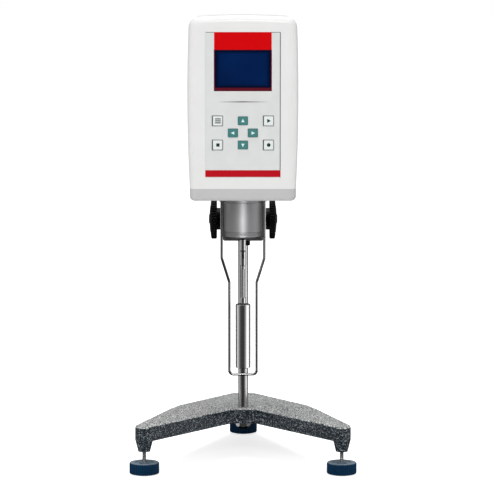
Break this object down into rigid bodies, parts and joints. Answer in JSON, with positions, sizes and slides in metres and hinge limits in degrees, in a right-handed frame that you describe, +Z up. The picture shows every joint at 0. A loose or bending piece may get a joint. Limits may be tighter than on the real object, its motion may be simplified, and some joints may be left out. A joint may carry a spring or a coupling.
{
  "type": "rotational viscometer",
  "caption": "Digital rotational viscometer: keypad head on a rack-and-pinion post, hanging rotor in a wire guard, three-foot cast base",
  "frame": {"origin": "on the surface that the feet stand on, below the middle of the object's bounding box", "axes": "+Z up, the keypad faces -Y, +X to the right seen from the front"},
  "size_m": [0.227, 0.2678, 0.4566],
  "materials": {
    "aluminium": "machined",
    "black_plastic": "moulded",
    "blue_black": "moulded, fine ribs",
    "board": "lacquered board",
    "brass": "turned",
    "chrome": "bright plated",
    "dark_metal": "satin paint",
    "dark_plastic": "moulded",
    "hammer_paint": "grey and black hammered enamel",
    "head_grey": "satin moulded",
    "head_white": "satin moulded",
    "key_green": "matt film",
    "key_white": "matt film",
    "lcd": "dark blue display",
    "level_glass": "yellow-green spirit",
    "maroon": "moulded frame",
    "motor": "drawn can",
    "overlay": "fine matt film",
    "red": "printed film",
    "rubber": "soft",
    "steel": "turned and polished"
  },
  "bodies": {
    "stand": {"base_casting": "hammer_paint", "post": "steel", "rack": "steel", "post_cap": "black_plastic", "post_nut": "chrome"},
    "pad_front_left": {"foot_pad_front_left": "rubber"},
    "knob_front_left": {"foot_knob_front_left": "blue_black", "foot_screw_front_left": "steel"},
    "pad_front_right": {"foot_pad_front_right": "rubber"},
    "knob_front_right": {"foot_knob_front_right": "blue_black", "foot_screw_front_right": "steel"},
    "pad_rear": {"foot_pad_rear": "rubber"},
    "knob_rear": {"foot_knob_rear": "blue_black", "foot_screw_rear": "steel"},
    "carriage": {"carriage_block": "dark_metal", "carriage_liners": "brass", "pinion_bushes": "steel", "drag_screw": "black_plastic", "arm_bolts": "steel", "head_base": "head_grey", "front_cover": "head_white", "rear_cover": "head_white", "overlay_panel": "overlay", "display_bezel": "maroon", "lcd_glass": "lcd", "panel_accents": "red", "control_board": "board", "power_supply": "board", "drive_motor": "motor", "motor_bridge": "aluminium", "neck_housing": "steel", "neck_ring": "steel", "guard": "steel", "guard_ferrules": "steel", "level_ring": "dark_plastic", "level_vial": "level_glass", "switch_housing": "dark_plastic", "power_inlet": "dark_plastic", "serial_port": "steel", "cover_screws": "steel", "base_screws": "steel"},
    "lift_knobs": {"pinion_shaft": "steel", "lift_knob_left": "black_plastic", "lift_knob_right": "black_plastic", "knob_caps": "black_plastic"},
    "key_upper_left_body": {"key_upper_left": "key_white"},
    "key_upper_right_body": {"key_upper_right": "key_white"},
    "key_lower_left_body": {"key_lower_left": "key_white"},
    "key_lower_right_body": {"key_lower_right": "key_white"},
    "key_up_body": {"key_up": "key_green"},
    "key_down_body": {"key_down": "key_green"},
    "key_left_body": {"key_left": "key_green"},
    "key_right_body": {"key_right": "key_green"},
    "rocker": {"switch_rocker": "dark_plastic"},
    "drive": {"drive_coupling": "aluminium"},
    "spindle_body": {"spindle": "steel"},
    "link": {"universal_link": "steel"},
    "rotor_body": {"rotor_socket": "steel", "rotor": "steel"}
  },
  "joints": [
    {"name": "foot_travel_front_left", "type": "slide", "parent": "stand", "child": "pad_front_left", "axis": [0, 0, 1], "range_m": [-0.005, 0.005]},
    {"name": "foot_turn_front_left", "type": "hinge", "parent": "pad_front_left", "child": "knob_front_left", "pos_m": [-0.0986, -0.10595, 0.006], "axis": [0, 0, 1], "range_deg": [-2572, 2572]},
    {"name": "foot_travel_front_right", "type": "slide", "parent": "stand", "child": "pad_front_right", "axis": [0, 0, 1], "range_m": [-0.005, 0.005]},
    {"name": "foot_turn_front_right", "type": "hinge", "parent": "pad_front_right", "child": "knob_front_right", "pos_m": [0.0986, -0.10595, 0.006], "axis": [0, 0, 1], "range_deg": [-2572, 2572]},
    {"name": "foot_travel_rear", "type": "slide", "parent": "stand", "child": "pad_rear", "axis": [0, 0, 1], "range_m": [-0.005, 0.005]},
    {"name": "foot_turn_rear", "type": "hinge", "parent": "pad_rear", "child": "knob_rear", "pos_m": [0, 0.11905, 0.006], "axis": [0, 0, 1], "range_deg": [-2572, 2572]},
    {"name": "lift_slide", "type": "slide", "parent": "stand", "child": "carriage", "axis": [0, 0, 1], "range_m": [-0.085, 0.1]},
    {"name": "knob_turn", "type": "hinge", "parent": "carriage", "child": "lift_knobs", "pos_m": [0, -0.00545, 0.2464], "axis": [1, 0, 0], "range_deg": [-700, 822]},
    {"name": "key_upper_left_press", "type": "slide", "parent": "carriage", "child": "key_upper_left_body", "axis": [0, 1, 0], "range_m": [0, 0.0004], "stiffness_N_per_m": 1500, "springref_m": -0.0003},
    {"name": "key_upper_right_press", "type": "slide", "parent": "carriage", "child": "key_upper_right_body", "axis": [0, 1, 0], "range_m": [0, 0.0004], "stiffness_N_per_m": 1500, "springref_m": -0.0003},
    {"name": "key_lower_left_press", "type": "slide", "parent": "carriage", "child": "key_lower_left_body", "axis": [0, 1, 0], "range_m": [0, 0.0004], "stiffness_N_per_m": 1500, "springref_m": -0.0003},
    {"name": "key_lower_right_press", "type": "slide", "parent": "carriage", "child": "key_lower_right_body", "axis": [0, 1, 0], "range_m": [0, 0.0004], "stiffness_N_per_m": 1500, "springref_m": -0.0003},
    {"name": "key_up_press", "type": "slide", "parent": "carriage", "child": "key_up_body", "axis": [0, 1, 0], "range_m": [0, 0.0004], "stiffness_N_per_m": 1500, "springref_m": -0.0003},
    {"name": "key_down_press", "type": "slide", "parent": "carriage", "child": "key_down_body", "axis": [0, 1, 0], "range_m": [0, 0.0004], "stiffness_N_per_m": 1500, "springref_m": -0.0003},
    {"name": "key_left_press", "type": "slide", "parent": "carriage", "child": "key_left_body", "axis": [0, 1, 0], "range_m": [0, 0.0004], "stiffness_N_per_m": 1500, "springref_m": -0.0003},
    {"name": "key_right_press", "type": "slide", "parent": "carriage", "child": "key_right_body", "axis": [0, 1, 0], "range_m": [0, 0.0004], "stiffness_N_per_m": 1500, "springref_m": -0.0003},
    {"name": "switch_rock", "type": "hinge", "parent": "carriage", "child": "rocker", "pos_m": [0.008, -0.02995, 0.312], "axis": [1, 0, 0], "range_deg": [-14, 0]},
    {"name": "drive_spin", "type": "hinge", "parent": "carriage", "child": "drive", "pos_m": [0, -0.07995, 0.321], "axis": [0, 0, 1], "continuous": true},
    {"name": "spindle_twist", "type": "hinge", "parent": "drive", "child": "spindle_body", "pos_m": [0, -0.07995, 0.313], "axis": [0, 0, 1], "range_deg": [-5, 80], "stiffness_Nm_per_rad": 0.002},
    {"name": "link_swing", "type": "hinge", "parent": "spindle_body", "child": "link", "pos_m": [0, -0.07995, 0.2267], "axis": [0, 1, 0], "range_deg": [-1.2, 1.2]},
    {"name": "rotor_swing", "type": "hinge", "parent": "link", "child": "rotor_body", "pos_m": [0, -0.07995, 0.2176], "axis": [1, 0, 0], "range_deg": [-1.2, 1.2]}
  ],
  "couplings": [
    {"joint": "foot_turn_front_left", "follows": "foot_travel_front_left", "rad_per_m": 8976},
    {"joint": "foot_turn_front_right", "follows": "foot_travel_front_right", "rad_per_m": 8976},
    {"joint": "foot_turn_rear", "follows": "foot_travel_rear", "rad_per_m": 8976},
    {"joint": "knob_turn", "follows": "lift_slide", "rad_per_m": 142.86}
  ]
}
